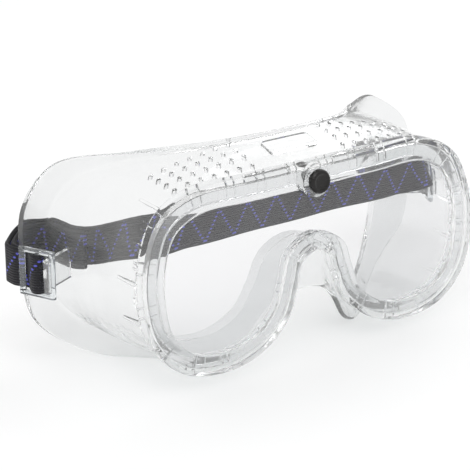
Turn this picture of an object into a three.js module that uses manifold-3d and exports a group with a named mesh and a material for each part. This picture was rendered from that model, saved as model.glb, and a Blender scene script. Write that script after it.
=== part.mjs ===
// Clear splash goggles: a soft moulded frame with a flat lens in a front channel, a black lens stud,
// two strap buckles hooked on side lugs, and an elastic strap tucked through the frame.
import * as THREE from "three";
import { ParametricGeometry } from "three/addons/geometries/ParametricGeometry.js";
import { mergeVertices } from "three/addons/utils/BufferGeometryUtils.js";
import Module from "manifold-3d";

const wasm = await Module();
wasm.setup();

// ---- Driving dimensions, in millimetres ----
const frameWidth = 182;
const frameHeight = 86;
const frameDepth = 60;
const lensLean = 0.08; // how far the lens leans back for each millimetre of height
const lensThickness = 1.2;
const lipThickness = 2.4; // front and back lips of the lens channel
const wallThickness = 2.0;
const flangeThickness = 1.8;
const clearance = 0.3; // between pieces that touch
const standCut = 1.8; // taken off the lowest edge, so that the frame stands flat

const ventDiameter = 1.7;
const ventRows = 4;
const ventsPerRow = 7;
const ventPitchAcross = 5.5;
const ventPitchBack = 4.9;
const ventFirstAcross = 20.5;
const ventFirstBack = 9.8;

const slotLength = 20;
const slotWidth = 1.3;
const slotInner = 9.7; // from the middle to the near end of a slot
const plateLength = 21;
const plateWidth = 8;
const plateRise = 0.6;
const finThickness = 1.1;
const finLength = 13;

const studDiameter = 8.8;
const studHeadThickness = 2.3;
const studShankDiameter = 3.6;
const studAboveSight = 2.55; // its axis, above the top of the lens opening
const bossDiameter = 12;
const bossRise = 0.7;

const strapWidth = 14.5;
const strapThickness = 1.3;
const strapBehindLens = 8.8; // from the lens front to the strap's middle
const strapBelowSight = 8.25; // middle of the strap behind the lens, below the top of the opening
const strapBackRise = 2.5; // where it turns round the back edge, above the buckle's middle
const strapFrontLean = 0.3; // how far the strap leans to the lens for each millimetre of its width
const strapTurnLean = 0.5; // the same, inward, where it turns along the wall
const tailDrop = 0.9; // how far the tail lies below the long ply
const tailLength = 21; // free end, forward of the back edge
const plySpacing = 0.45; // gap between the two plies

const buckleArm = 1.15; // height of the buckle's arms above and below the strap
const buckleThickness = 2.2;
const buckleSpan = 12.6; // between the axes of the front and the rear bar
const buckleAngle = 25; // degrees, how far the buckle stands out from straight back
const frontBarDiameter = 2.4;
const middleBarDiameter = 2.0;
const middleBarPlace = 6; // from the front bar's axis
const rearBarLength = 2.4;
const buckleRise = 2.24; // its middle, above the outermost point of the lens opening
const hookInset = 2.4; // front bar's axis, inside the flange edge
const hookForward = 17.5; // and in front of it
const hookHeight = 11;
const hookThickness = 1.6;
const hookWrap = 115; // degrees, how far the hook reaches round the front bar

// ---- Helpers ----
// Joins a geometry's vertices into a solid.
function solid(geometry) {
  const plain = geometry.clone();
  plain.deleteAttribute("normal");
  plain.deleteAttribute("uv");
  const merged = mergeVertices(plain, 1e-4);
  const made = new wasm.Manifold(
    new wasm.Mesh({
      numProp: 3,
      vertProperties: merged.attributes.position.array,
      triVerts: new Uint32Array(merged.index.array),
    }),
  );
  return made;
}

// Turns a solid back into a three.js geometry.
function geometryOf(body) {
  const mesh = body.getMesh();
  const geometry = new THREE.BufferGeometry();
  const stride = mesh.numProp;
  const positions = new Float32Array(mesh.numVert * 3);
  for (let i = 0; i < mesh.numVert; i++) {
    positions.set(mesh.vertProperties.subarray(i * stride, i * stride + 3), i * 3);
  }
  geometry.setAttribute("position", new THREE.BufferAttribute(positions, 3));
  geometry.setIndex(new THREE.BufferAttribute(new Uint32Array(mesh.triVerts), 1));
  geometry.computeVertexNormals();
  return geometry;
}

// Moves every vertex of a geometry by a rule.
function reshape(geometry, rule) {
  const at = new THREE.Vector3();
  const positions = geometry.attributes.position;
  for (let i = 0; i < positions.count; i++) {
    at.fromBufferAttribute(positions, i);
    rule(at);
    positions.setXYZ(i, at.x, at.y, at.z);
  }
  return geometry;
}

// Leans what sits in the lens plane: y grows with height.
function leaned(geometry) {
  return reshape(geometry, (at) => {
    at.y += lensLean * (at.z - leanHeight);
  });
}

function material(colour, roughness, opacity = 1) {
  return new THREE.MeshStandardMaterial({
    color: colour,
    roughness,
    metalness: 0,
    transparent: opacity < 1,
    opacity,
  });
}

// ---- Outlines of the frame ----
// Stations run from the top centre over the right side, the cheek and the nose to the nose's crown.
// sight: across, up and rim width; root: across, back, up where the wall turns; edge: the same for
// the flange's outer edge. Across is a share of half the width, up of the height, back of the depth.
const stations = [
  { sight: [0, 0.775, 8.9], root: [0, 0.42, 0.925], edge: [0, 0.27, 0.975] },
  { sight: [0.31, 0.777, 8.7], root: [0.31, 0.48, 0.918], edge: [0.3, 0.32, 0.97] },
  { sight: [0.55, 0.775, 8.4], root: [0.55, 0.73, 0.863], edge: [0.55, 0.69, 0.907] },
  { sight: [0.665, 0.715, 8.4], root: [0.725, 0.93, 0.785], edge: [0.81, 0.93, 0.866] },
  { sight: [0.718, 0.587, 8.6], root: [0.825, 1, 0.62], edge: [0.975, 0.885, 0.725] },
  { sight: [0.7275, 0.46, 9], root: [0.845, 1, 0.46], edge: [1, 0.868, 0.505] },
  { sight: [0.698, 0.302, 8.5], root: [0.815, 0.955, 0.275], edge: [0.965, 0.85, 0.238] },
  { sight: [0.61, 0.203, 7.9], root: [0.715, 0.84, 0.157], edge: [0.79, 0.815, 0.064] },
  { sight: [0.45, 0.171, 7.6], root: [0.55, 0.62, 0.105], edge: [0.605, 0.59, 0.008] },
  { sight: [0.31, 0.203, 7.2], root: [0.4, 0.41, 0.11], edge: [0.42, 0.32, 0.002] },
  { sight: [0.214, 0.285, 7], root: [0.275, 0.28, 0.215], edge: [0.27, 0.19, 0.068] },
  { sight: [0.174, 0.39, 6.9], root: [0.2, 0.26, 0.345], edge: [0.18, 0.15, 0.205] },
  { sight: [0.132, 0.512, 6.9], root: [0.135, 0.27, 0.46], edge: [0.118, 0.135, 0.265] },
  { sight: [0, 0.58, 6.9], root: [0, 0.28, 0.51], edge: [0, 0.135, 0.285] },
];
const halfWidth = frameWidth / 2;
const leanHeight = 0.55 * frameHeight;
const rimTop = stations[0].sight[1] * frameHeight;
const sideStation = stations[5];
const studHeight = rimTop + studAboveSight;
const strapFrontHeight = rimTop - strapBelowSight;
const buckleCentreHeight = sideStation.sight[1] * frameHeight + buckleRise;
const strapBackHeight = buckleCentreHeight + strapBackRise;
const samplesPerStation = 4;

// A closed curve through one entry of the stations, mirrored for the left half.
function closedCurve(place) {
  const right = stations.map(place);
  const left = right
    .slice(1, -1)
    .reverse()
    .map((at) => new THREE.Vector3(-at.x, at.y, at.z));
  return new THREE.CatmullRomCurve3([...right, ...left], true, "centripetal");
}
// The sight curve carries the rim width in its y value.
const sightCurve = closedCurve(
  (s) => new THREE.Vector3(s.sight[0] * halfWidth, s.sight[2], s.sight[1] * frameHeight),
);
const rootCurve = closedCurve(
  (s) => new THREE.Vector3(s.root[0] * halfWidth, s.root[1] * frameDepth, s.root[2] * frameHeight),
);
const edgeCurve = closedCurve(
  (s) => new THREE.Vector3(s.edge[0] * halfWidth, s.edge[1] * frameDepth, s.edge[2] * frameHeight),
);
const around = (2 * stations.length - 2) * samplesPerStation;

// The sight point, its outward direction, its tangent and its rim width at share t of the outline.
function outlineAt(t) {
  const at = sightCurve.getPoint(t);
  const tangent = sightCurve.getTangent(t);
  tangent.y = 0;
  tangent.normalize();
  const outward = new THREE.Vector3(-tangent.z, 0, tangent.x);
  return { sight: new THREE.Vector3(at.x, 0, at.z), rimWidth: at.y, tangent, outward };
}

// A flat outline at a distance from the sight line; reach gives it from the rim width.
function offsetShape(reach) {
  const points = [];
  for (let i = 0; i < around; i++) {
    const { sight, rimWidth, outward } = outlineAt(i / around);
    const out = reach(rimWidth);
    points.push(new THREE.Vector2(sight.x + out * outward.x, sight.z + out * outward.z));
  }
  return new THREE.Shape(points);
}

// ---- Frame ----
const grooveShare = 0.7; // groove depth as a share of the rim width
const wallShare = 0.52; // where the wall leaves the rim
const topWallShare = 0.75; // the same at the top, where the wall is almost flush with the rim
const backLipShare = 0.13;
const grooveFront = -clearance;
const grooveBack = lensThickness + clearance;
const rimFront = grooveFront - lipThickness;
const rimBack = grooveBack + lipThickness;
const rimRound = 1.1;
const wallBulge = 1.2; // how far the wall bows outward halfway back

// A point at a distance outward from the sight line and at a depth behind the lens front.
function besideSight(t, out, back) {
  const { sight, outward } = outlineAt(t);
  const at = sight.addScaledVector(outward, out);
  at.y = back + lensLean * (at.z - leanHeight);
  return at;
}

// How far outward from the sight line the middle of the wall leaves the rim.
function wallReach(t) {
  const { rimWidth, outward } = outlineAt(t);
  const top = Math.max(outward.z, 0) ** 2;
  return (wallShare + top * (topWallShare - wallShare)) * rimWidth;
}

// Middle of the wall and the flange: at the rim, halfway back, at the turn and at the outer edge.
function wallLine(t) {
  const { outward } = outlineAt(t);
  const start = besideSight(t, wallReach(t), rimBack - 0.5 * lipThickness);
  const turn = rootCurve.getPoint(t);
  const middle = start.clone().lerp(turn, 0.5).addScaledVector(outward, wallBulge);
  return [start, middle, turn, edgeCurve.getPoint(t)];
}

// The closed section of the frame at share t of the outline.
function frameSection(t) {
  const { rimWidth, tangent } = outlineAt(t);
  const place = (out, back) => besideSight(t, out, back);
  const centres = wallLine(t);
  const thicknesses = [wallThickness, wallThickness, flangeThickness, flangeThickness];
  const outer = [];
  const inner = [];
  centres.forEach((centre, i) => {
    const before = centres[Math.max(i - 1, 0)];
    const after = centres[Math.min(i + 1, centres.length - 1)];
    const into = centre.clone().sub(before);
    const from = after.clone().sub(centre);
    if (i === 0) into.copy(from);
    if (i === centres.length - 1) from.copy(into);
    into.normalize();
    from.normalize();
    const first = new THREE.Vector3().crossVectors(tangent, into).normalize();
    const second = new THREE.Vector3().crossVectors(tangent, from).normalize();
    const side = first.clone().add(second).normalize();
    const half = (0.5 * thicknesses[i]) / Math.max(side.dot(first), 0.5);
    outer.push(centre.clone().addScaledVector(side, half));
    inner.push(centre.clone().addScaledVector(side, -half));
  });
  return [
    place(0, grooveFront),
    place(0, rimFront + rimRound),
    place(rimRound, rimFront),
    place(rimWidth - rimRound, rimFront),
    place(rimWidth, rimFront + rimRound),
    place(rimWidth, rimBack - rimRound),
    place(rimWidth - rimRound, rimBack),
    place(wallReach(t) + 0.5 * wallThickness, rimBack),
    outer[1],
    outer[2],
    outer[3],
    inner[3],
    inner[2],
    inner[1],
    place(wallReach(t) - 0.5 * wallThickness, rimBack),
    place(backLipShare * rimWidth, rimBack),
    place(backLipShare * rimWidth, grooveBack),
    place(grooveShare * rimWidth, grooveBack),
    place(grooveShare * rimWidth, grooveFront),
  ];
}

const sections = [];
for (let i = 0; i < around; i++) {
  sections.push(frameSection(i / around));
}
const sectionSize = sections[0].length;
const shell = new ParametricGeometry(
  (u, v, target) => {
    const i = Math.round(u * around) % around;
    const j = Math.round(v * sectionSize) % sectionSize;
    target.copy(sections[i][j]);
  },
  around,
  sectionSize,
);
let frame = solid(shell);
if (frame.volume() < 0) {
  throw new Error("frame section runs the wrong way round");
}

// A round bar along y between two depths.
function barAlongY(diameter, from, to, x, z, sides = 24) {
  const bar = new THREE.CylinderGeometry(diameter / 2, diameter / 2, to - from, sides);
  bar.translate(x, (from + to) / 2, z);
  return bar;
}

// A box between two corners.
function block(low, high) {
  const size = high.map((value, i) => value - low[i]);
  const box = new THREE.BoxGeometry(...size);
  box.translate(...low.map((value, i) => value + size[i] / 2));
  return box;
}

// A plan outline of [x, y] points, raised between two heights.
function raised(outline, low, high, steps = 1) {
  const shape = new THREE.Shape(outline.map(([x, y]) => new THREE.Vector2(x, y)));
  const body = new THREE.ExtrudeGeometry(shape, { depth: high - low, steps, bevelEnabled: false });
  body.translate(0, 0, low);
  return body;
}

// The mirror image of a solid on the other side of the middle plane.
function mirrored(body) {
  return body.mirror([1, 0, 0]);
}

// Stud boss on both lips, and the hole through them.
const bossFront = rimFront - bossRise;
const holeDiameter = studShankDiameter + 2 * clearance;
const throughLens = [rimFront - lipThickness - bossRise, rimBack + lipThickness];
frame = frame.add(solid(leaned(barAlongY(bossDiameter, bossFront, grooveFront, 0, studHeight))));
frame = frame.add(solid(leaned(barAlongY(bossDiameter - 1, grooveBack, rimBack, 0, studHeight))));
const studHole = solid(leaned(barAlongY(holeDiameter, ...throughLens, 0, studHeight)));
frame = frame.subtract(studHole);

// Share of the outline where the back edge of the top wall lies at a distance from the middle.
function shareAt(across) {
  let low = 0;
  let high = 3 / (2 * stations.length - 2);
  for (let i = 0; i < 24; i++) {
    const share = (low + high) / 2;
    if (rootCurve.getPoint(share).x < across) low = share;
    else high = share;
  }
  return low;
}

// Height of the top wall's middle.
function topWallHeight(across, back) {
  const [start, middle, turn] = wallLine(shareAt(across));
  const [front, rear] = back < middle.y ? [start, middle] : [middle, turn];
  const share = (back - front.y) / (rear.y - front.y);
  return front.z + share * (rear.z - front.z);
}

// Vent holes in the top wall, in a block of rows on each side.
for (let row = 0; row < ventRows; row++) {
  for (let column = 0; column < ventsPerRow; column++) {
    const across = ventFirstAcross + column * ventPitchAcross;
    const back = ventFirstBack + row * ventPitchBack;
    const drill = new THREE.CylinderGeometry(ventDiameter / 2, ventDiameter / 2, 2 * wallThickness, 8);
    drill.rotateX(Math.PI / 2);
    drill.translate(across, back, topWallHeight(across, back));
    const vent = solid(drill);
    frame = frame.subtract(vent).subtract(mirrored(vent));
  }
}

// Drain slots through the top of the rim into the lens channel.
const slotMiddle = (grooveFront + grooveBack) / 2;
const slot = solid(
  leaned(
    block(
      [slotInner, slotMiddle - slotWidth / 2, rimTop + grooveShare * stations[1].sight[2] - 1],
      [slotInner + slotLength, slotMiddle + slotWidth / 2, rimTop + 2 * stations[0].sight[2]],
    ),
  ),
);
frame = frame.subtract(slot).subtract(mirrored(slot));

// Blank raised plate on the top wall between the vents.
const plateBack = ventFirstBack + 1.1 * ventPitchBack;
const plateSlope = topWallHeight(0, plateBack + plateWidth / 2) - topWallHeight(0, plateBack - plateWidth / 2);
const plate = new THREE.BoxGeometry(plateLength, plateWidth, wallThickness);
plate.rotateX(Math.atan2(plateSlope, plateWidth));
plate.translate(0, plateBack, topWallHeight(0, plateBack) + plateRise);
frame = frame.add(solid(plate));

// Tapered fins from the back of the rim along the outside of the side walls.
const finStations = [2.75, 3.6, 4.6, 5.6, 6.5];
for (const station of finStations) {
  const t = station / (2 * stations.length - 2);
  const { sight, rimWidth, tangent, outward } = outlineAt(t);
  const lean = lensLean * (sight.z - leanHeight);
  const [start, middle] = wallLine(t);
  const along = middle.clone().sub(start);
  const end = start.clone().addScaledVector(along, finLength / along.y);
  const outOfSight = (at) => at.clone().sub(sight).dot(outward);
  const shape = new THREE.Shape([
    new THREE.Vector2(outOfSight(start), start.y - 0.3),
    new THREE.Vector2(rimWidth - rimRound, rimBack - 0.6 + lean),
    new THREE.Vector2(outOfSight(end) + wallThickness / 2, end.y),
    new THREE.Vector2(outOfSight(end), end.y),
  ]);
  const fin = new THREE.ExtrudeGeometry(shape, { depth: finThickness, bevelEnabled: false });
  fin.translate(0, 0, -finThickness / 2);
  const turned = new THREE.Matrix4().makeBasis(
    outward,
    new THREE.Vector3(0, 1, 0),
    tangent.clone().negate(),
  );
  turned.setPosition(sight);
  fin.applyMatrix4(turned);
  frame = frame.add(solid(fin)).add(mirrored(solid(fin)));
}

// ---- Where the buckles hang ----
const flangeEdge = new THREE.Vector2(sideStation.edge[0] * halfWidth, sideStation.edge[1] * frameDepth);
const wallTurn = new THREE.Vector2(sideStation.root[0] * halfWidth, sideStation.root[1] * frameDepth);
const hookAxis = new THREE.Vector2(flangeEdge.x - hookInset, flangeEdge.y - hookForward);
const buckleTurn = (buckleAngle * Math.PI) / 180;
const buckleAlong = new THREE.Vector2(Math.sin(buckleTurn), Math.cos(buckleTurn));
const buckleAcross = new THREE.Vector2(buckleAlong.y, -buckleAlong.x);

// A plan point given along the buckle from the hook's axis, and outward across it.
function onBuckle(along, across) {
  const at = hookAxis.clone().addScaledVector(buckleAlong, along).addScaledVector(buckleAcross, across);
  return [at.x, at.y];
}

// Middle of the side wall, across, at a depth.
function sideWallAcross(back) {
  const [start, middle, turn] = wallLine(5 / (2 * stations.length - 2));
  const [front, rear] = back < middle.y ? [start, middle] : [middle, turn];
  return front.x + ((back - front.y) / (rear.y - front.y)) * (rear.x - front.x);
}

// Hooks that hold the buckles' front bars: an arm from the wall, bent round the bar.
const pocket = frontBarDiameter / 2 + clearance;
const hookOuter = pocket + hookThickness;
const wallAcross = sideWallAcross(hookAxis.y + hookOuter);
// The arm's side at a distance along the buckle starts in the middle of the wall.
function armRoot(along) {
  return onBuckle(along, (wallAcross - hookAxis.x - along * buckleAlong.x) / buckleAcross.x);
}
const hookOutline = [armRoot(pocket)];
for (const [radius, order] of [
  [pocket, 1],
  [hookOuter, -1],
]) {
  for (let i = 0; i <= 8; i++) {
    const share = order > 0 ? i / 8 : 1 - i / 8;
    const angle = (share * hookWrap * Math.PI) / 180;
    hookOutline.push(onBuckle(radius * Math.cos(angle), radius * Math.sin(angle)));
  }
}
hookOutline.push(armRoot(hookOuter));
const hook = solid(
  raised(hookOutline, buckleCentreHeight - hookHeight / 2, buckleCentreHeight + hookHeight / 2),
);
frame = frame.add(hook).add(mirrored(hook));

// Flat standing edge.
frame = frame.subtract(
  solid(block([-frameWidth, -frameDepth, -frameHeight], [frameWidth, 2 * frameDepth, standCut])),
);

const model = new THREE.Group();
function addNode(name, body, look) {
  const mesh = new THREE.Mesh(geometryOf(body), look);
  mesh.name = name;
  model.add(mesh);
}
const clearPlastic = () => material(0xdfe6e8, 0.25, 0.4);
const strapFabric = () => material(0x1c1c22, 0.9);
addNode("frame_body", frame, clearPlastic());

// ---- Lens ----
const lensBlank = new THREE.ExtrudeGeometry(
  offsetShape((rimWidth) => grooveShare * rimWidth - clearance),
  { depth: lensThickness, bevelEnabled: false, steps: 1 },
);
lensBlank.rotateX(Math.PI / 2);
lensBlank.translate(0, lensThickness, 0);
addNode("lens", solid(leaned(lensBlank)).subtract(studHole), material(0xf2f7f8, 0.05, 0.2));

// ---- Stud that pins the lens into the frame ----
const headBack = bossFront - clearance;
const headFront = headBack - studHeadThickness;
const studTip = rimBack + 2.5;
const studProfile = [
  [0, headFront],
  [0.3 * studDiameter, headFront + 0.1],
  [0.42 * studDiameter, headFront + 0.4],
  [0.49 * studDiameter, headFront + 1],
  [0.5 * studDiameter, headFront + 1.6],
  [0.49 * studDiameter, headBack],
  [0.5 * studShankDiameter, headBack],
  [0.5 * studShankDiameter, studTip - 0.8],
  [0.3 * studShankDiameter, studTip],
  [0, studTip],
];
const stud = new THREE.LatheGeometry(
  studProfile.map(([radius, back]) => new THREE.Vector2(radius, back)),
  32,
);
stud.translate(0, 0, studHeight);
addNode("lens_stud", solid(leaned(stud)), material(0x0c0c0e, 0.2));

// ---- Buckles ----
const windowHeight = strapWidth + 2 * clearance;
const buckleHeight = windowHeight + 2 * buckleArm;
const rearHalf = rearBarLength / 2;

// A rectangle with rounded corners, as points.
function roundedRectangle(left, right, halfHeight, round) {
  const points = [];
  const corners = [
    [right - round, halfHeight - round, 0],
    [left + round, halfHeight - round, 1],
    [left + round, -halfHeight + round, 2],
    [right - round, -halfHeight + round, 3],
  ];
  for (const [x, y, quarter] of corners) {
    for (let i = 0; i <= 4; i++) {
      const angle = (quarter + i / 4) * (Math.PI / 2);
      points.push(new THREE.Vector2(x + round * Math.cos(angle), y + round * Math.sin(angle)));
    }
  }
  return points;
}

// Plan points of a rounded bar of the buckle: its place, half its length and half its thickness.
function barOutline(along, halfLength, halfThickness) {
  const points = [];
  const straight = halfLength - halfThickness;
  for (let i = 0; i < 24; i++) {
    const angle = ((i + 0.5) / 24) * 2 * Math.PI;
    const reach = straight * Math.sign(Math.cos(angle)) + halfThickness * Math.cos(angle);
    points.push(onBuckle(along + reach, -halfThickness * Math.sin(angle)));
  }
  return points;
}
const buckleShape = new THREE.Shape(
  roundedRectangle(-frontBarDiameter / 2, buckleSpan + rearHalf, buckleHeight / 2, 1),
);
const bucklePlate = new THREE.ExtrudeGeometry(buckleShape, { depth: buckleThickness, bevelEnabled: false });
bucklePlate.translate(0, 0, -buckleThickness / 2);
const buckleWindow = block(
  [-buckleHeight, -windowHeight / 2, -buckleThickness],
  [buckleSpan + buckleHeight, windowHeight / 2, buckleThickness],
);
const buckleFrame = new THREE.Matrix4().makeBasis(
  new THREE.Vector3(buckleAlong.x, buckleAlong.y, 0),
  new THREE.Vector3(0, 0, 1),
  new THREE.Vector3(buckleAcross.x, buckleAcross.y, 0),
);
buckleFrame.setPosition(hookAxis.x, hookAxis.y, buckleCentreHeight);
bucklePlate.applyMatrix4(buckleFrame);
buckleWindow.applyMatrix4(buckleFrame);
// Two arms are left of the plate, and three rounded bars join them.
const barLow = buckleCentreHeight - windowHeight / 2 - 0.6;
const barHigh = buckleCentreHeight + windowHeight / 2 + 0.6;
const bars = [
  [0, frontBarDiameter / 2, frontBarDiameter / 2],
  [middleBarPlace, middleBarDiameter / 2, middleBarDiameter / 2],
  [buckleSpan, rearHalf, buckleThickness / 2],
];
let buckleRight = solid(bucklePlate).subtract(solid(buckleWindow));
for (const bar of bars) {
  buckleRight = buckleRight.add(solid(raised(barOutline(...bar), barLow, barHigh)));
}
addNode("buckle_right", buckleRight, clearPlastic());
addNode("buckle_left", mirrored(buckleRight), clearPlastic());

// ---- Strap ----
// A smooth rise from 0 to 1 between two values.
function easeBetween(low, high, value) {
  const share = Math.min(Math.max((value - low) / (high - low), 0), 1);
  return share * share * (3 - 2 * share);
}

// Lean of the strap for each millimetre of its width: inward where it turns, and to the lens in front.
function leanAt(across, back) {
  const turning = easeBetween(wallTurn.x - 22, wallTurn.x - 14, across);
  const inward = strapTurnLean * turning * (1 - easeBetween(0.28 * wallTurn.y, 0.58 * wallTurn.y, back));
  const forward = strapFrontLean * (1 - easeBetween(wallTurn.x - 30, wallTurn.x - 18, across));
  return { inward, forward };
}

// A band of the strap's thickness along a plan path, standing on edge; heightAt gives its middle.
function band(path, samples, heightAt) {
  const curve = new THREE.CatmullRomCurve3(
    path.map(([x, y]) => new THREE.Vector3(x, y, 0)),
    false,
    "centripetal",
  );
  const one = [];
  const other = [];
  for (let i = 0; i <= samples; i++) {
    const at = curve.getPoint(i / samples);
    const tangent = curve.getTangent(i / samples);
    const half = strapThickness / 2;
    one.push([at.x + half * tangent.y, at.y - half * tangent.x]);
    other.push([at.x - half * tangent.y, at.y + half * tangent.x]);
  }
  const ribbon = raised([...one, ...other.reverse()], -strapWidth / 2, strapWidth / 2, 4);
  return solid(
    reshape(ribbon, (at) => {
      const across = Math.abs(at.x);
      const { inward, forward } = leanAt(across, at.y);
      const above = at.z;
      at.z += heightAt(across, at.y);
      at.x -= above * inward * Math.sign(at.x);
      at.y -= above * forward;
    }),
  );
}

// Loop round the middle bar: in through the window, round the bar and back inside the rear bar.
const plyPitch = strapThickness + plySpacing;
const loopRadius = middleBarDiameter / 2 + clearance + strapThickness / 2;
const outerPly = -(buckleThickness / 2 + clearance + strapThickness / 2);
const innerPly = outerPly - plyPitch;
const loopEnd = flangeEdge.y + 0.3; // where the loop's two ends meet the rest of the strap
const bandJoint = 0.6; // gap there
const tipReach = strapThickness / 2 + 1.2; // from the flange's edge to the inner ply's middle
const innerTip = flangeEdge.x + tipReach;
const outerTip = innerTip + plyPitch + 0.1;
const loopPath = [
  [outerTip, loopEnd],
  [outerTip - 0.35, loopEnd - 2],
  onBuckle(buckleSpan, outerPly),
  onBuckle(buckleSpan - 1.7, outerPly + 0.15),
  onBuckle(buckleSpan - 3.4, outerPly + 1.75),
];
for (let i = 1; i <= 8; i++) {
  const angle = (0.2 + 0.8 * (i / 8)) * Math.PI;
  loopPath.push(onBuckle(middleBarPlace + loopRadius * Math.cos(angle), loopRadius * Math.sin(angle)));
}
for (let i = 1; i <= 3; i++) {
  const angle = (1 + 0.15 * i) * Math.PI;
  loopPath.push(onBuckle(middleBarPlace + loopRadius * Math.cos(angle), loopRadius * Math.sin(angle)));
}
loopPath.push(onBuckle(middleBarPlace + 2.4, innerPly + 1.35));
loopPath.push(onBuckle(buckleSpan, innerPly));
loopPath.push([innerTip - 0.4, loopEnd - 2]);
loopPath.push([innerTip, loopEnd]);
const loop = band(loopPath, 72, () => buckleCentreHeight);
addNode("strap_loop_right", loop, strapFabric());
addNode("strap_loop_left", mirrored(loop), strapFabric());

// A plan point inside the side wall's middle line.
function insideWall(inset, back) {
  return [sideWallAcross(back) - inset, back];
}

// Route of the tail from its free end back along the wall, round the back edge and to the buckle.
const backEdge = wallTurn.y;
const turnReach = flangeThickness + 0.95 * strapThickness;
const tailPath = [
  insideWall(4.09, backEdge - tailLength),
  insideWall(4.57, backEdge - 10),
  insideWall(4.44, backEdge - 2.5),
  [wallTurn.x - 4, backEdge + 1.2],
  [wallTurn.x - 0.6, backEdge + turnReach],
  [wallTurn.x + 4.5, backEdge + turnReach - 0.3],
  [wallTurn.x + 10, backEdge + turnReach - 2.6],
  [flangeEdge.x - 0.4, flangeEdge.y + 5.2],
  [innerTip - 0.2, loopEnd + bandJoint + 1.6],
  [innerTip, loopEnd + bandJoint],
];

// Points of a path moved sideways to its left.
function beside(path, offset) {
  return path.map(([x, y], i) => {
    const [x0, y0] = path[Math.max(i - 1, 0)];
    const [x1, y1] = path[Math.min(i + 1, path.length - 1)];
    const along = new THREE.Vector2(x1 - x0, y1 - y0).normalize();
    return [x - offset * along.y, y + offset * along.x];
  });
}
// The long ply keeps outside the tail round the back edge.
const mainRoute = [
  insideWall(20.96, strapBehindLens),
  insideWall(12.58, strapBehindLens + 0.8),
  insideWall(8.24, strapBehindLens + 4),
  insideWall(6.81, strapBehindLens + 10),
  insideWall(6.99, backEdge - 31),
  ...beside(tailPath, plyPitch + 0.45).slice(1, -1),
  [outerTip, loopEnd + bandJoint],
];
const mainLeft = mainRoute.map(([x, y]) => [-x, y]).reverse();
const mainPath = [...mainLeft, [0, strapBehindLens], ...mainRoute];
// Middle height: it falls along the wall, and settles to the buckle's height outside.
function strapHeight(across, back) {
  const drop = (strapFrontHeight - strapBackHeight) * easeBetween(0.07 * backEdge, 0.9 * backEdge, back);
  const settle = (strapBackHeight - buckleCentreHeight) * easeBetween(flangeEdge.x - 8, innerTip, across);
  return strapFrontHeight - drop - settle;
}
addNode("strap", band(mainPath, 130, strapHeight), strapFabric());

const tail = band(tailPath, 40, (across, back) => {
  return strapHeight(across, back) - tailDrop * (1 - easeBetween(flangeEdge.x - 8, innerTip, across));
});
addNode("strap_tail_right", tail, strapFabric());
addNode("strap_tail_left", mirrored(tail), strapFabric());

// The origin is under the middle of the whole object, at its lowest point.
const extent = new THREE.Box3().setFromObject(model);
const middle = extent.getCenter(new THREE.Vector3());
for (const mesh of model.children) {
  mesh.geometry.translate(-middle.x, -middle.y, -extent.min.z);
}

export default model;
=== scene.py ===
# Clear splash goggles with a dotted elastic strap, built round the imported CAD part.
import bmesh
import bpy
import math
import numpy as np
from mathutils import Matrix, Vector


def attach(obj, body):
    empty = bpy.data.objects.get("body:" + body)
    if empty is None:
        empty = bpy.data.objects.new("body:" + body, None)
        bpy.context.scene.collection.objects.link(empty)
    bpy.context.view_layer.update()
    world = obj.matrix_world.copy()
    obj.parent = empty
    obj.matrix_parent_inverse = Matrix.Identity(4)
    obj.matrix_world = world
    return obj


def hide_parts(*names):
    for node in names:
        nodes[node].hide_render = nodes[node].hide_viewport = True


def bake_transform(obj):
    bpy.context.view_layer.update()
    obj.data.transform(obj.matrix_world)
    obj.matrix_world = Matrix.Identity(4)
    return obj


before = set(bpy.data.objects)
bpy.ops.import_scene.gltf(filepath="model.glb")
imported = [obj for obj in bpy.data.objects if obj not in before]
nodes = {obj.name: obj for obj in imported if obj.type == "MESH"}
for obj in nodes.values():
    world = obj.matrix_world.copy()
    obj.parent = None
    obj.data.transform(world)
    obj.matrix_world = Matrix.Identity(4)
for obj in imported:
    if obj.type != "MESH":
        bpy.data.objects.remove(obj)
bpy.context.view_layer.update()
mm = 0.001

# where the middle of the lens front stands in the part's own frame, in millimetres
place = {"back": -30.1093, "up": -1.8}

def toFrame(points):
    # design millimetres to the part's frame in metres
    shifted = np.asarray(points, float) + [0.0, place["back"], place["up"]]
    return shifted * mm


def makeMesh(name, points, faces, material, smooth=True):
    mesh = bpy.data.meshes.new(name)
    mesh.from_pydata(points.tolist(), [], faces.tolist() if isinstance(faces, np.ndarray) else faces)
    mesh.materials.append(material)
    mesh.polygons.foreach_set("use_smooth", np.full(len(mesh.polygons), smooth))
    mesh.update()
    piece = bpy.data.objects.new(name, mesh)
    bpy.context.scene.collection.objects.link(piece)
    return piece


def gridFaces(rows, columns, closeRows, closeColumns):
    # quads between neighbouring rows and columns, wrapping round where closed
    i = np.arange(rows if closeRows else rows - 1)
    j = np.arange(columns if closeColumns else columns - 1)
    a, b = np.meshgrid(i, j, indexing="ij")
    c, d = (a + 1) % rows, (b + 1) % columns
    return np.stack([a * columns + b, a * columns + d, c * columns + d, c * columns + b], -1).reshape(-1, 4)


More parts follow.
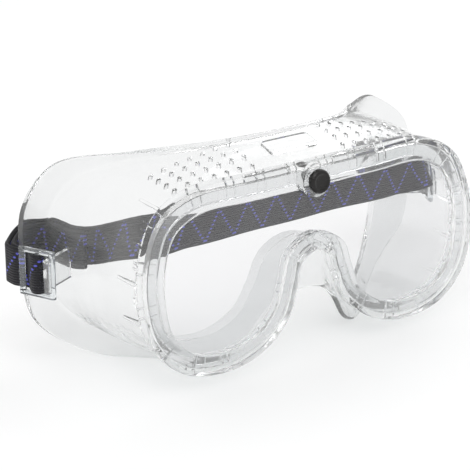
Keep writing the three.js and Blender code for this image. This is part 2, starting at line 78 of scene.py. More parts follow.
def roundedLoop(corners, radii, steps):
    # each corner of a closed section becomes a quadratic arc that starts and ends on its two edges
    # corners: (samples, corners, 3); the arc takes at most 0.45 of an edge
    before = np.roll(corners, 1, axis=1) - corners
    after = np.roll(corners, -1, axis=1) - corners
    lengthBefore = np.linalg.norm(before, axis=2, keepdims=True)
    lengthAfter = np.linalg.norm(after, axis=2, keepdims=True)
    radius = np.asarray(radii, float)[None, :, None]
    start = corners + before / lengthBefore * np.minimum(radius, 0.45 * lengthBefore)
    end = corners + after / lengthAfter * np.minimum(radius, 0.45 * lengthAfter)
    t = np.linspace(0, 1, steps)[None, None, :, None]
    arc = (1 - t) ** 2 * start[:, :, None] + 2 * t * (1 - t) * corners[:, :, None] + t**2 * end[:, :, None]
    return arc.reshape(corners.shape[0], -1, 3)


def centripetal(points, t, closed):
    # Catmull-Rom through the points with knot steps of the square root of each chord, at shares t
    points = np.asarray(points, float)
    count = len(points) if closed else len(points) - 1
    along = np.asarray(t) * count
    index = np.minimum(np.floor(along).astype(int), count - 1)
    w = (along - index)[:, None]
    if closed:
        p0, p1, p2, p3 = (points[(index + k) % count] for k in (-1, 0, 1, 2))
    else:
        padded = np.vstack([2 * points[0] - points[1], points, 2 * points[-1] - points[-2]])
        p0, p1, p2, p3 = (padded[index + k] for k in (0, 1, 2, 3))
    d0, d1, d2 = (
        np.maximum(np.linalg.norm(b - a, axis=1, keepdims=True) ** 0.5, 1e-4)
        for a, b in ((p0, p1), (p1, p2), (p2, p3))
    )
    m1 = ((p1 - p0) / d0 - (p2 - p0) / (d0 + d1) + (p2 - p1) / d1) * d1
    m2 = ((p2 - p1) / d1 - (p3 - p1) / (d1 + d2) + (p3 - p2) / d2) * d1
    return (
        p1 * (2 * w**3 - 3 * w**2 + 1)
        + m1 * (w**3 - 2 * w**2 + w)
        + p2 * (3 * w**2 - 2 * w**3)
        + m2 * (w**3 - w**2)
    )


def unit(vectors):
    return vectors / np.maximum(np.linalg.norm(vectors, axis=-1, keepdims=True), 1e-9)


def smoothBetween(low, high, value):
    share = np.clip((value - low) / (high - low), 0, 1)
    return share * share * (3 - 2 * share)


def applied(piece):
    # bakes a piece's modifiers into its mesh
    graph = bpy.context.evaluated_depsgraph_get()
    done = bpy.data.meshes.new_from_object(piece.evaluated_get(graph))
    piece.modifiers.clear()
    piece.data = done
    return piece


class Nodes:
    # short hand for building a node tree
    def __init__(self, name):
        self.material = bpy.data.materials.new(name)
        self.material.use_nodes = True
        self.tree = self.material.node_tree
        self.tree.nodes.clear()
        self.output = self.tree.nodes.new("ShaderNodeOutputMaterial")

    def add(self, kind, **values):
        node = self.tree.nodes.new("ShaderNode" + kind)
        for key, value in values.items():
            if hasattr(node, key):
                setattr(node, key, value)
            else:
                self.feed(node.inputs[key.replace("_", " ")], value)
        return node

    def feed(self, socket, value):
        if isinstance(value, bpy.types.NodeSocket):
            self.tree.links.new(value, socket)
        else:
            socket.default_value = value

    def math(self, operation, a, b=None, c=None):
        node = self.tree.nodes.new("ShaderNodeMath")
        node.operation = operation
        for socket, value in zip(node.inputs, (a, b, c)):
            if value is not None:
                self.feed(socket, value)
        return node.outputs[0]

    def noise(self, coordinates, scale, detail=2.0, roughness=0.5):
        node = self.add("TexNoise")
        self.feed(node.inputs["Vector"], coordinates)
        node.inputs["Scale"].default_value = scale
        node.inputs["Detail"].default_value = detail
        node.inputs["Roughness"].default_value = roughness
        return node.outputs["Fac"]

    def ramp(self, value, low, high, toLow, toHigh):
        node = self.add("MapRange")
        self.feed(node.inputs["Value"], value)
        for key, number in (("From Min", low), ("From Max", high), ("To Min", toLow), ("To Max", toHigh)):
            node.inputs[key].default_value = number
        return node.outputs["Result"]

    def blendColours(self, share, first, second):
        node = self.tree.nodes.new("ShaderNodeMix")
        node.data_type = "RGBA"
        self.feed(node.inputs[0], share)
        self.feed(node.inputs[6], first)
        self.feed(node.inputs[7], second)
        return node.outputs[2]


def clearPlastic(name, tint, roughness, ior, shadowTint, waviness, wavinessScale, haze, hazeColour):
    # clear moulded plastic: gently wavy surface, milky haze, and light that gets through to what is inside
    n = Nodes(name)
    where = n.add("TexCoord").outputs["Object"]
    swell = n.noise(where, wavinessScale, 2.0)
    fine = n.noise(where, wavinessScale * 9, 3.0)
    bump = n.add("Bump")
    bump.inputs["Strength"].default_value = waviness
    bump.inputs["Distance"].default_value = 0.0012
    n.feed(bump.inputs["Height"], n.math("MULTIPLY_ADD", fine, 0.08, swell))
    body = n.add("BsdfPrincipled")
    body.inputs["Base Color"].default_value = (*tint, 1)
    body.inputs["Transmission Weight"].default_value = 1.0
    body.inputs["IOR"].default_value = ior
    n.feed(body.inputs["Roughness"], n.ramp(fine, 0.35, 0.75, roughness * 0.5, roughness * 1.6))
    n.feed(body.inputs["Normal"], bump.outputs[0])
    passing = n.add("BsdfTransparent")
    passing.inputs["Color"].default_value = (*shadowTint, 1)
    milk = n.add("BsdfPrincipled")
    milk.inputs["Base Color"].default_value = (*hazeColour, 1)
    milk.inputs["Roughness"].default_value = 0.35
    cloudy = n.add("MixShader")
    n.feed(cloudy.inputs[0], n.ramp(swell, 0.3, 0.7, haze * 0.75, haze * 1.25))
    n.feed(cloudy.inputs[1], body.outputs[0])
    n.feed(cloudy.inputs[2], milk.outputs[0])
    path = n.add("LightPath")
    trapped = n.math("GREATER_THAN", path.outputs["Transmission Depth"], 5.5)  # lets long inner paths out
    mix = n.add("MixShader")
    passes = n.math("MAXIMUM", path.outputs["Is Shadow Ray"], path.outputs["Is Diffuse Ray"])
    n.feed(mix.inputs[0], n.math("MAXIMUM", passes, trapped))
    n.feed(mix.inputs[1], cloudy.outputs[0])
    n.feed(mix.inputs[2], passing.outputs[0])
    n.feed(n.output.inputs["Surface"], mix.outputs[0])
    return n.material


softVinyl = clearPlastic("softVinyl", (0.915, 0.922, 0.925), 0.05, 1.27, (0.945, 0.95, 0.95), 0.3, 60,
                         0.075, (0.8, 0.8, 0.79))
lensSheetClear = clearPlastic("lensSheetClear", (0.93, 0.93, 0.937), 0.012, 1.4, (0.97, 0.975, 0.975),
                              0.02, 30, 0.035, (0.8, 0.8, 0.82))
buckleClear = clearPlastic("buckleClear", (0.9, 0.92, 0.93), 0.04, 1.38, (0.9, 0.92, 0.93), 0.2, 120,
                           0.08, (0.75, 0.78, 0.8))


def studPlastic():
    # glossy black moulding with diagonal streaks across its head: rougher and raised along the streaks, and painted
    # lighter there as a painted highlight
    n = Nodes("blackStud")
    where = n.add("TexCoord").outputs["Object"]
    turned = n.add("Mapping")
    n.feed(turned.inputs["Vector"], where)
    turned.inputs["Rotation"].default_value = (0, math.radians(38), 0)
    turned.inputs["Scale"].default_value = (1, 1, 9)
    streaks = n.noise(turned.outputs[0], 420, 3.0, 0.6)
    body = n.add("BsdfPrincipled")
    # the lighter black along the streaks is a painted highlight; the deep black between them is the moulding's own
    # colour
    deepBlack, paintedStreakHighlight = (0.002, 0.002, 0.002, 1), (0.014, 0.012, 0.011, 1)
    n.feed(body.inputs["Base Color"], n.blendColours(streaks, deepBlack, paintedStreakHighlight))
    n.feed(body.inputs["Roughness"], n.ramp(streaks, 0.3, 0.7, 0.16, 0.5))
    body.inputs["Specular IOR Level"].default_value = 0.35
    bump = n.add("Bump")
    bump.inputs["Strength"].default_value = 0.25
    bump.inputs["Distance"].default_value = 0.0003
    n.feed(bump.inputs["Height"], streaks)
    n.feed(body.inputs["Normal"], bump.outputs[0])
    n.feed(n.output.inputs["Surface"], body.outputs[0])
    return n.material


blackStud = studPlastic()

# the elastic: lengths in millimetres, along and across the band
weave = {
    "width": 14.5,
    "period": 12.6,
    "fallShare": 0.74,
    "rowPitch": 1.55,
    "dotLength": 0.56,
    "dotHeight": 0.42,
    "ribPitch": 0.97,
    "pickPitch": 0.62,
    "margin": 0.8,
}


def elasticWebbing():
    # black ribbed elastic with blue stitches in a leaning zigzag
    # the map holds millimetres along (x) and across (y) the band
    n = Nodes("dottedElastic")
    split = n.add("SeparateXYZ")
    n.feed(split.inputs[0], n.add("UVMap", uv_map="weaveMap").outputs[0])
    along, across = split.outputs[0], split.outputs[1]
    usable = weave["width"] - 2 * weave["margin"]
    row = n.math("FLOOR", n.math("DIVIDE", n.math("SUBTRACT", across, weave["margin"]), weave["rowPitch"]))
    rowMiddle = n.math("MULTIPLY_ADD", row, weave["rowPitch"], weave["margin"] + weave["rowPitch"] / 2)
    height = n.math("DIVIDE", n.math("SUBTRACT", rowMiddle, weave["margin"]), usable)
    offRow = n.math("DIVIDE", n.math("SUBTRACT", across, rowMiddle), weave["dotHeight"])
    near = None
    for atBottom, reach in ((weave["fallShare"], -weave["fallShare"]), (weave["fallShare"], 1 - weave["fallShare"])):
        centre = n.math("MULTIPLY_ADD", height, reach * weave["period"], atBottom * weave["period"])
        gap = n.math("SUBTRACT", along, centre)
        wrapped = n.math("WRAP", gap, weave["period"] / 2, -weave["period"] / 2)
        offAlong = n.math("DIVIDE", wrapped, weave["dotLength"])
        distance = n.math("ADD", n.math("POWER", offAlong, 2.0), n.math("POWER", offRow, 2.0))
        near = distance if near is None else n.math("MINIMUM", near, distance)
    inside = n.math("MULTIPLY", n.math("GREATER_THAN", across, weave["margin"]),
                    n.math("LESS_THAN", across, weave["width"] - weave["margin"]))
    dots = n.math("MULTIPLY", n.ramp(near, 0.55, 1.3, 1.0, 0.0), inside)
    rib = n.math("SINE", n.math("MULTIPLY", across, 2 * math.pi / weave["ribPitch"]))
    pick = n.math("SINE", n.math("MULTIPLY", along, 2 * math.pi / weave["pickPitch"]))
    where = n.add("TexCoord").outputs["Object"]
    wear = n.noise(where, 320, 3.0)
    # the colour follows the ribs' relief: lighter on the crests, darker in the grooves, a painted shade along the
    # grooves
    cloth = n.blendColours(n.ramp(rib, -1, 1, 0.0, 1.0), (0.003, 0.003, 0.0045, 1), (0.01, 0.0095, 0.016, 1))
    cloth = n.blendColours(n.ramp(wear, 0.45, 0.8, 0.0, 0.5), cloth, (0.02, 0.02, 0.026, 1))
    body = n.add("BsdfPrincipled")
    n.feed(body.inputs["Base Color"], n.blendColours(dots, cloth, (0.1, 0.1, 0.62, 1)))
    n.feed(body.inputs["Roughness"], n.ramp(dots, 0, 1, 0.82, 0.5))
    body.inputs["Sheen Weight"].default_value = 0.12
    body.inputs["Sheen Roughness"].default_value = 0.4
    relief = n.math("MULTIPLY_ADD", pick, 0.25, rib)
    relief = n.math("MULTIPLY_ADD", dots, 1.3, relief)
    bump = n.add("Bump")
    bump.inputs["Strength"].default_value = 0.9
    bump.inputs["Distance"].default_value = 0.00022
    n.feed(bump.inputs["Height"], relief)
    n.feed(body.inputs["Normal"], bump.outputs[0])
    n.feed(n.output.inputs["Surface"], body.outputs[0])
    return n.material


dottedElastic = elasticWebbing()
print("materials ready")

shell = {
    "width": 182.0,
    "height": 86.0,
    "depth": 60.0,
    "lean": 0.08,
    "lensThickness": 1.2,
    "lip": 2.4,
    "wall": 2.0,
    "flange": 1.8,
    "clearance": 0.3,
    "bulge": 1.2,
    "grooveShare": 0.7,
    "wallShare": 0.52,
    "topWallShare": 0.75,
    "backLipShare": 0.13,
    "rimRound": 1.1,
    "floor": 1.8,
    "around": 520,
    "cornerSteps": 4,
}

# from the top centre over the side, the cheek and the nose: across, up and rim width of the sight
# line; across, back, up of the wall's turn; the same of the flange's edge
stations = [
    (0, 0.775, 8.9, 0, 0.42, 0.925, 0, 0.27, 0.975),
    (0.31, 0.777, 8.7, 0.31, 0.48, 0.918, 0.3, 0.32, 0.97),
    (0.55, 0.775, 8.4, 0.55, 0.73, 0.863, 0.55, 0.69, 0.907),
    (0.665, 0.715, 8.4, 0.725, 0.93, 0.785, 0.81, 0.93, 0.866),
    (0.718, 0.587, 8.6, 0.825, 1, 0.62, 0.975, 0.885, 0.725),
    (0.7275, 0.46, 9, 0.845, 1, 0.46, 1, 0.868, 0.505),
    (0.698, 0.302, 8.5, 0.815, 0.955, 0.275, 0.965, 0.85, 0.238),
    (0.61, 0.203, 7.9, 0.715, 0.84, 0.157, 0.79, 0.815, 0.064),
    (0.45, 0.171, 7.6, 0.55, 0.62, 0.105, 0.605, 0.59, 0.008),
    (0.31, 0.203, 7.2, 0.4, 0.41, 0.11, 0.42, 0.32, 0.002),
    (0.214, 0.285, 7, 0.275, 0.28, 0.215, 0.27, 0.19, 0.068),
    (0.174, 0.39, 6.9, 0.2, 0.26, 0.345, 0.18, 0.15, 0.205),
    (0.132, 0.512, 6.9, 0.135, 0.27, 0.46, 0.118, 0.135, 0.265),
    (0, 0.58, 6.9, 0, 0.28, 0.51, 0, 0.135, 0.285),
]
leanHeight = 0.55 * shell["height"]
grooveFront = -shell["clearance"]
grooveBack = shell["lensThickness"] + shell["clearance"]
rimFront = grooveFront - shell["lip"]
rimBack = grooveBack + shell["lip"]
segmentCount = 2 * len(stations) - 2


def closedCurve(columns, scale, t):
    # the stations' entries and their mirror images, joined by a closed curve
    right = np.array(stations)[:, columns] * scale
    left = right[1:-1][::-1] * np.array([-1, 1, 1])
    return centripetal(np.vstack([right, left]), t, True)


def outlineAt(t):
    # sight points, their tangents, the directions away from the opening and the rim widths
    half, high = shell["width"] / 2, shell["height"]
    step = 1e-4
    order = [0, 2, 1]
    scale = np.array([half, 1, high])
    at = closedCurve(order, scale, t)
    ahead = closedCurve(order, scale, (t + step) % 1)
    behind = closedCurve(order, scale, (t - step) % 1)
    tangent = ahead - behind
    tangent[:, 1] = 0
    tangent = unit(tangent)
    outward = np.stack([-tangent[:, 2], 0 * tangent[:, 0], tangent[:, 0]], -1)
    width = at[:, 1:2].copy()
    at[:, 1] = 0
    return at, tangent, outward, width


def besideSight(t, out, back):
    # out: distance from the sight line, back: depth behind the lens front before the lean
    at, tangent, outward, width = outlineAt(t)
    point = at + outward * out
    point[:, 1] = back + shell["lean"] * (point[:, 2] - leanHeight)
    return point


def wallReach(width, outward):
    # how far outward from the sight line the middle of the wall leaves the rim; further at the top
    top = np.maximum(outward[:, 2:], 0) ** 2
    return (shell["wallShare"] + top * (shell["topWallShare"] - shell["wallShare"])) * width


def wallLine(t):
    # middle of the wall at the rim, halfway, at its turn, and at the flange's edge
    at, tangent, outward, width = outlineAt(t)
    scale = np.array([shell["width"] / 2, shell["depth"], shell["height"]])
    start = besideSight(t, wallReach(width, outward), rimBack - 0.5 * shell["lip"])
    turn = closedCurve([3, 4, 5], scale, t)
    edge = closedCurve([6, 7, 8], scale, t)
    middle = (start + turn) / 2 + outward * shell["bulge"]
    return start, middle, turn, edge


def shellSection(t):
    # rim with its lens channel, then the wall and the flange as a band of even thickness
    at, tangent, outward, width = outlineAt(t)
    centres = np.stack(wallLine(t), 1)
    thickness = np.array([shell["wall"], shell["wall"], shell["flange"], shell["flange"]])
    into = np.diff(centres, axis=1)
    into = unit(np.concatenate([into[:, :1], into], 1))
    leaving = np.concatenate([into[:, 1:], into[:, -1:]], 1)
    into[:, 0] = leaving[:, 0]
    tangents = np.repeat(tangent[:, None], 4, 1)
    first = unit(np.cross(tangents, into))
    second = unit(np.cross(tangents, leaving))
    side = unit(first + second)
    reach = 0.5 * thickness[None, :, None] / np.maximum((side * first).sum(2, keepdims=True), 0.5)
    outer, inner = centres + side * reach, centres - side * reach
    point = lambda out, back: besideSight(t, out, back)
    corner = shell["rimRound"]
    wallOut = wallReach(width, outward) + 0.5 * shell["wall"]
    wallIn = wallReach(width, outward) - 0.5 * shell["wall"]
    lipOut = shell["backLipShare"] * width
    groove = shell["grooveShare"] * width
    loop = [
        point(0, grooveFront), point(0, rimFront), point(width, rimFront), point(width, rimBack),
        point(wallOut, rimBack), outer[:, 1], outer[:, 2], outer[:, 3], inner[:, 3], inner[:, 2],
        inner[:, 1], point(wallIn, rimBack), point(lipOut, rimBack), point(lipOut, grooveBack),
        point(groove, grooveBack), point(groove, grooveFront),
    ]
    radii = [0.3, corner, 1.7, 1.7, 0.8, 20, 2.4, 0.85, 0.85, 2.4, 20, 0.8, 0.5, 0.3, 0.3, 0.3]
    return roundedLoop(np.stack(loop, 1), radii, shell["cornerSteps"])


def buildShell():
    # the section is carried round the closed outline; the lowest edge is pressed flat
    t = np.arange(shell["around"]) / shell["around"]
    points = shellSection(t)
    rows, columns = points.shape[:2]
    points = points.reshape(-1, 3)
    points[:, 2] = np.maximum(points[:, 2], shell["floor"])
    faces = gridFaces(rows, columns, True, True)[:, ::-1]
    return makeMesh("gogglesFrame", toFrame(points), faces, softVinyl)


def prism(outline, offset):
    # closed body between an outline and its copy moved by offset; returns points and faces
    count = len(outline)
    points = np.vstack([outline, np.asarray(outline) + offset])
    i = np.arange(count)
    sides = np.stack([i, (i + 1) % count, (i + 1) % count + count, i + count], -1)
    faces = sides.tolist() + [i[::-1].tolist(), (i + count).tolist()]
    return points, faces


def rod(start, end, radius, sides):
    # round rod from start to end
    axis = unit(np.subtract(end, start))
    across = unit(np.cross(axis, [0.31, 0.2, 0.93]))
    other = np.cross(axis, across)
    angle = np.arange(sides) / sides * 2 * math.pi
    ring = np.asarray(start) + radius * (np.cos(angle)[:, None] * across + np.sin(angle)[:, None] * other)
    return prism(ring, np.subtract(end, start))


def flipped(body):
    # the same body on the other side of the middle plane
    return body[0] * [-1, 1, 1], body[1]


def gathered(name, bodies, material):
    # several closed bodies in one mesh, faces outward
    points, faces, base = [], [], 0
    for bodyPoints, bodyFaces in bodies:
        points.append(bodyPoints)
        faces += [[base + index for index in face] for face in bodyFaces]
        base += len(bodyPoints)
    piece = makeMesh(name, toFrame(np.vstack(points)), faces, material)
    return facedOut(piece)


def facedOut(piece):
    work = bmesh.new()
    work.from_mesh(piece.data)
    bmesh.ops.recalc_face_normals(work, faces=work.faces)
    work.to_mesh(piece.data)
    work.free()
    return piece


def combined(piece, other, operation):
    # one Boolean with another piece, which is then gone
    step = piece.modifiers.new(operation.lower(), "BOOLEAN")
    step.operation = operation
    step.solver = "MANIFOLD"
    step.object = other
    applied(piece)
    bpy.data.objects.remove(other)
    return piece


def creased(piece, degrees):
    # smooth shading with sharp edges past an angle
    piece.data.polygons.foreach_set("use_smooth", np.ones(len(piece.data.polygons), bool))
    piece.data.set_sharp_from_angle(angle=math.radians(degrees))
    return piece


details = {
    "ventDiameter": 1.7,
    "ventRows": 4,
    "ventsPerRow": 7,
    "pitchAcross": 5.5,
    "pitchBack": 4.9,
    "firstAcross": 20.5,
    "firstBack": 9.8,
    "slotLength": 20,
    "slotWidth": 1.3,
    "slotInner": 9.7,
    "plateLength": 21,
    "plateWidth": 8,
    "plateRise": 0.6,
    "finStations": [2.75, 3.6, 4.6, 5.6, 6.5],
    "finThickness": 1.1,
    "finLength": 13,
    "ribStations": [3.1, 3.25, 4.05, 4.2, 5.05, 5.2, 6.05, 6.2, 7.1, 7.25, 8.0, 8.15],
    "ribThickness": 0.7,
    "ribLength": 5.5,
    "studHeight": 69.2,
    "bossDiameter": 12,
    "bossRise": 0.7,
    "holeDiameter": 4.2,
    "markPairs": 27,  # pairs of fine radial grooves round the back of the rim
    "markGap": 3.4,
    "markWidth": 0.45,
    "markDepth": 0.8,
}


def topWall(across, back):
    # height of the top wall's middle at a place, by halving the share until the turn's across fits
    low, high = 0.0, 3 / segmentCount
    for _ in range(24):
        share = (low + high) / 2
        if closedCurve([3, 4, 5], np.array([shell["width"] / 2, 1, 1]), np.array([share]))[0, 0] < across:
            low = share
        else:
            high = share
    start, middle, turn, edge = (point[0] for point in wallLine(np.array([low])))
    front, rear = (start, middle) if back < middle[1] else (middle, turn)
    return front[2] + (back - front[1]) / (rear[1] - front[1]) * (rear[2] - front[2])


def finBody(station, thickness, length):
    # a triangle from the back of the rim along the outside of the wall
    t = np.array([station / segmentCount])
    at, tangent, outward, width = (value[0] for value in outlineAt(t))
    lean = shell["lean"] * (at[2] - leanHeight)
    start, middle, turn, edge = (point[0] for point in wallLine(t))
    along = middle - start
    end = start + along * length / along[1]
    reach = lambda point: float((point - at) @ outward)
    corners = [
        (reach(start), start[1] - 0.3),
        (width[0] - shell["rimRound"], rimBack - 0.6 + lean),
        (reach(end) + shell["wall"] / 2 + 0.1, end[1]),
        (reach(end), end[1]),
    ]
    outline = [at + outward * out + np.array([0, back, 0]) - tangent * thickness / 2 for out, back in corners]
    return prism(np.array(outline), tangent * thickness)


def markBody(t):
    # cutter of a fine radial groove across the back of the rim
    at, tangent, outward, width = (value[0] for value in outlineAt(np.array([t])))
    half = details["markWidth"] / 2
    low = rimBack - details["markDepth"]
    reach = [(0.22, -half), (0.97, -half), (0.97, half), (0.22, half)]
    outline = np.array([at + outward * width * out + tangent * side for out, side in reach])
    outline[:, 1] = low + shell["lean"] * (outline[:, 2] - leanHeight)
    return prism(outline, [0, details["markDepth"] + 0.15, 0])


def markCutters():
    # pairs of grooves at even lengths along the sight line
    dense = np.arange(4000) / 4000
    at = outlineAt(dense)[0]
    length = np.concatenate([[0], np.cumsum(np.linalg.norm(np.diff(at, axis=0), axis=1))])
    pitch = length[-1] / details["markPairs"]
    middles = (np.arange(details["markPairs"]) + 0.5) * pitch
    places = np.concatenate([middles - details["markGap"] / 2, middles + details["markGap"] / 2])
    return [markBody(t) for t in np.interp(places, length, dense)]


def leanedRod(low, high, radius, height, sides=40):
    # rod along the depth through the leaning rim at a height
    rise = shell["lean"]
    shift = rise * (height - leanHeight)
    points, faces = rod((0, low + shift, height), (0, high + shift, height), radius, sides)
    points[:, 1] += rise * (points[:, 2] - height)
    return points, faces


def leanedBlock(low, high):
    # block whose depth follows the leaning rim
    outline = np.array([(low[0], low[1], low[2]), (high[0], low[1], low[2]), (high[0], high[1], low[2]),
                        (low[0], high[1], low[2])], float)
    points, faces = prism(outline, [0, 0, high[2] - low[2]])
    points[:, 1] += shell["lean"] * (points[:, 2] - leanHeight)
    return points, faces


def plateBody():
    # blank raised plate between the two blocks of vents, tilted with the wall
    back = details["firstBack"] + 1.1 * details["pitchBack"]
    half = details["plateWidth"] / 2
    tilt = math.atan2(topWall(0, back + half) - topWall(0, back - half), details["plateWidth"])
    alongWall = np.array([0, math.cos(tilt), math.sin(tilt)])
    upWall = np.array([0, -math.sin(tilt), math.cos(tilt)])
    middle = np.array([0, back, topWall(0, back) + details["plateRise"]]) - upWall * shell["wall"] / 2
    angle = (np.arange(32) + 0.5) / 32 * 2 * math.pi
    squareness = 0.22  # power that squares the outline's corners
    across = np.sign(np.cos(angle)) * np.abs(np.cos(angle)) ** squareness * details["plateLength"] / 2
    along = np.sign(np.sin(angle)) * np.abs(np.sin(angle)) ** squareness * half
    outline = middle + across[:, None] * [1, 0, 0] + along[:, None] * alongWall
    return prism(outline, upWall * shell["wall"])


def ventCutters():
    bodies = []
    for row in range(details["ventRows"]):
        for column in range(details["ventsPerRow"]):
            across = details["firstAcross"] + column * details["pitchAcross"]
            back = details["firstBack"] + row * details["pitchBack"]
            height = topWall(across, back)
            vent = rod((across, back, height - 2), (across, back, height + 2), details["ventDiameter"] / 2, 16)
            bodies += [vent, flipped(vent)]
    return bodies


# where each buckle hangs: design millimetres on the right side
hang = {
    "flangeEdge": (91.0, 52.08),
    "wallTurn": (76.895, 60.0),
    "inset": 2.4,
    "forward": 17.5,
    "angle": 25.0,
    "height": 41.8,
    "frontBar": 2.4,
    "middleBar": 2.0,
    "middlePlace": 6.0,
    "span": 12.6,
    "rearLength": 2.4,
    "thickness": 2.2,
    "buckleHeight": 17.4,
    "window": 15.1,
    "hookHeight": 11.0,
    "hookThickness": 1.6,
    "hookWrap": 115.0,
}
hookAxis = np.array(hang["flangeEdge"]) - [hang["inset"], hang["forward"]]
turn = math.radians(hang["angle"])
buckleAlong = np.array([math.sin(turn), math.cos(turn)])
buckleAcross = np.array([math.cos(turn), -math.sin(turn)])


def onBuckle(along, across):
    # plan points along the buckle from the hook's axis, and outward across it
    along, across = np.broadcast_arrays(along, across)
    return hookAxis + along[..., None] * buckleAlong + across[..., None] * buckleAcross


def hookBody():
    # an arm from the side wall, bent round the buckle's front bar
    pocket = hang["frontBar"] / 2 + shell["clearance"]
    outer = pocket + hang["hookThickness"]
    start, middle, rear, edge = (point[0] for point in wallLine(np.array([5 / segmentCount])))
    depth = hookAxis[1] + outer
    front, back = (start, middle) if depth < middle[1] else (middle, rear)
    wallAcross = front[0] + (depth - front[1]) / (back[1] - front[1]) * (back[0] - front[0])
    root = lambda along: onBuckle(along, (wallAcross - hookAxis[0] - along * buckleAlong[0]) / buckleAcross[0])
    angle = np.linspace(0, math.radians(hang["hookWrap"]), 17)
    inside = onBuckle(pocket * np.cos(angle), pocket * np.sin(angle))
    outside = onBuckle(outer * np.cos(angle), outer * np.sin(angle))[::-1]
    plan = np.vstack([root(pocket), inside, outside, root(outer)])
    low = hang["height"] - hang["hookHeight"] / 2
    return prism(np.column_stack([plan, np.full(len(plan), low)]), [0, 0, hang["hookHeight"]])


def finishFrame(piece):
    # fins, ribs, plate, bosses and hooks are joined; vents, slots and the stud's hole are cut
    height = details["studHeight"]
    added = [plateBody(), leanedRod(rimFront - details["bossRise"], grooveFront, details["bossDiameter"] / 2, height),
             leanedRod(grooveBack, rimBack, details["bossDiameter"] / 2 - 0.5, height)]
    for station in details["finStations"]:
        fin = finBody(station, details["finThickness"], details["finLength"])
        added += [fin, flipped(fin)]
    for station in details["ribStations"]:
        rib = finBody(station, details["ribThickness"], details["ribLength"])
        added += [rib, flipped(rib)]
    hook = hookBody()
    added += [hook, flipped(hook)]
    for body in added:
        combined(piece, gathered("joinedPart", [body], softVinyl), "UNION")
    rimTop = stations[0][1] * shell["height"]
    middle = (grooveFront + grooveBack) / 2
    slot = leanedBlock(
        (details["slotInner"], middle - details["slotWidth"] / 2, rimTop + shell["grooveShare"] * stations[1][2] - 1),
        (details["slotInner"] + details["slotLength"], middle + details["slotWidth"] / 2, rimTop + 2 * stations[0][2]))
    hole = leanedRod(rimFront - shell["lip"] - details["bossRise"], rimBack + shell["lip"],
                     details["holeDiameter"] / 2, height, 32)
    for body in markCutters():
        combined(piece, gathered("groove", [body], softVinyl), "DIFFERENCE")
    combined(piece, gathered("cutters", ventCutters() + [slot, flipped(slot), hole], softVinyl), "DIFFERENCE")
    return creased(piece, 42)


gogglesFrame = finishFrame(buildShell())
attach(gogglesFrame, "goggles")
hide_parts("frame_body")
print("frame shell", len(gogglesFrame.data.polygons), "faces")

lensNode = nodes["lens"]
lensNode.data.materials.clear()
lensNode.data.materials.append(lensSheetClear)

stud = {"diameter": 8.8, "head": 2.3, "shank": 3.6, "dish": 0.35, "around": 96}


def buildStud():
    # a profile of radius and depth, rounded with short arcs, is turned about the stud's axis
    headBack = rimFront - details["bossRise"] - shell["clearance"]
    headFront = headBack - stud["head"]
    tip = rimBack + 2.5
    r, s = stud["diameter"] / 2, stud["shank"] / 2
    corners = np.array([(0, headFront + stud["dish"]), (0.55 * r, headFront + 0.8 * stud["dish"]),
                        (0.72 * r, headFront + 0.02), (0.86 * r, headFront + 0.1), (r, headFront + 0.95),
                        (r, headBack - 0.4), (0.96 * r, headBack), (s, headBack), (s, tip - 0.8), (0.6 * s, tip), (0, tip)])
    line = np.column_stack([corners[:, 0], corners[:, 1], np.zeros(len(corners))])
    profile = centripetal(line, np.linspace(0, 1, 61), False)
    profile[:, 0] = np.clip(profile[:, 0], 0.0, r)
    profile = profile[1:-1]
    angle = np.arange(stud["around"]) / stud["around"] * 2 * math.pi
    across = profile[:, None, 0] * np.cos(angle)
    up = profile[:, None, 0] * np.sin(angle) + details["studHeight"]
    back = profile[:, None, 1] + 0 * angle + shell["lean"] * (up - leanHeight)
    rings = np.stack([across, back, up], -1)
    rows, columns = rings.shape[:2]
    lean = shell["lean"] * (details["studHeight"] - leanHeight)
    poles = [(0, headFront + stud["dish"] + lean, details["studHeight"]), (0, tip + lean, details["studHeight"])]
    points = np.vstack([rings.reshape(-1, 3), poles])
    faces = gridFaces(rows, columns, False, True).tolist()
    i = np.arange(columns)
    first, last = rows * columns, rows * columns + 1
    faces += np.stack([np.full(columns, first), i, (i + 1) % columns], -1).tolist()
    base = (rows - 1) * columns
    faces += np.stack([np.full(columns, last), base + (i + 1) % columns, base + i], -1).tolist()
    return creased(facedOut(makeMesh("studPlug", toFrame(points), faces, blackStud)), 50)


studPlug = buildStud()
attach(studPlug, "stud")
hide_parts("lens_stud")
print("stud ready")


def roundedBar(along, halfLength, halfThickness, low, high):
    # plan outline of a bar with half-round ends, raised between two heights
    angle = (np.arange(32) + 0.5) / 32 * 2 * math.pi
    reach = (halfLength - halfThickness) * np.sign(np.cos(angle)) + halfThickness * np.cos(angle)
    plan = onBuckle(along + reach, halfThickness * np.sin(angle))
    return prism(np.column_stack([plan, np.full(len(plan), low)]), [0, 0, high - low])


def armBody(low, high):
    # one arm of the buckle: a strip with rounded ends, along the whole length
    half = hang["thickness"] / 2
    front, rear = -hang["frontBar"] / 2, hang["span"] + hang["rearLength"] / 2
    middle, length = (front + rear) / 2, (rear - front) / 2
    return roundedBar(middle, length, half, low, high)


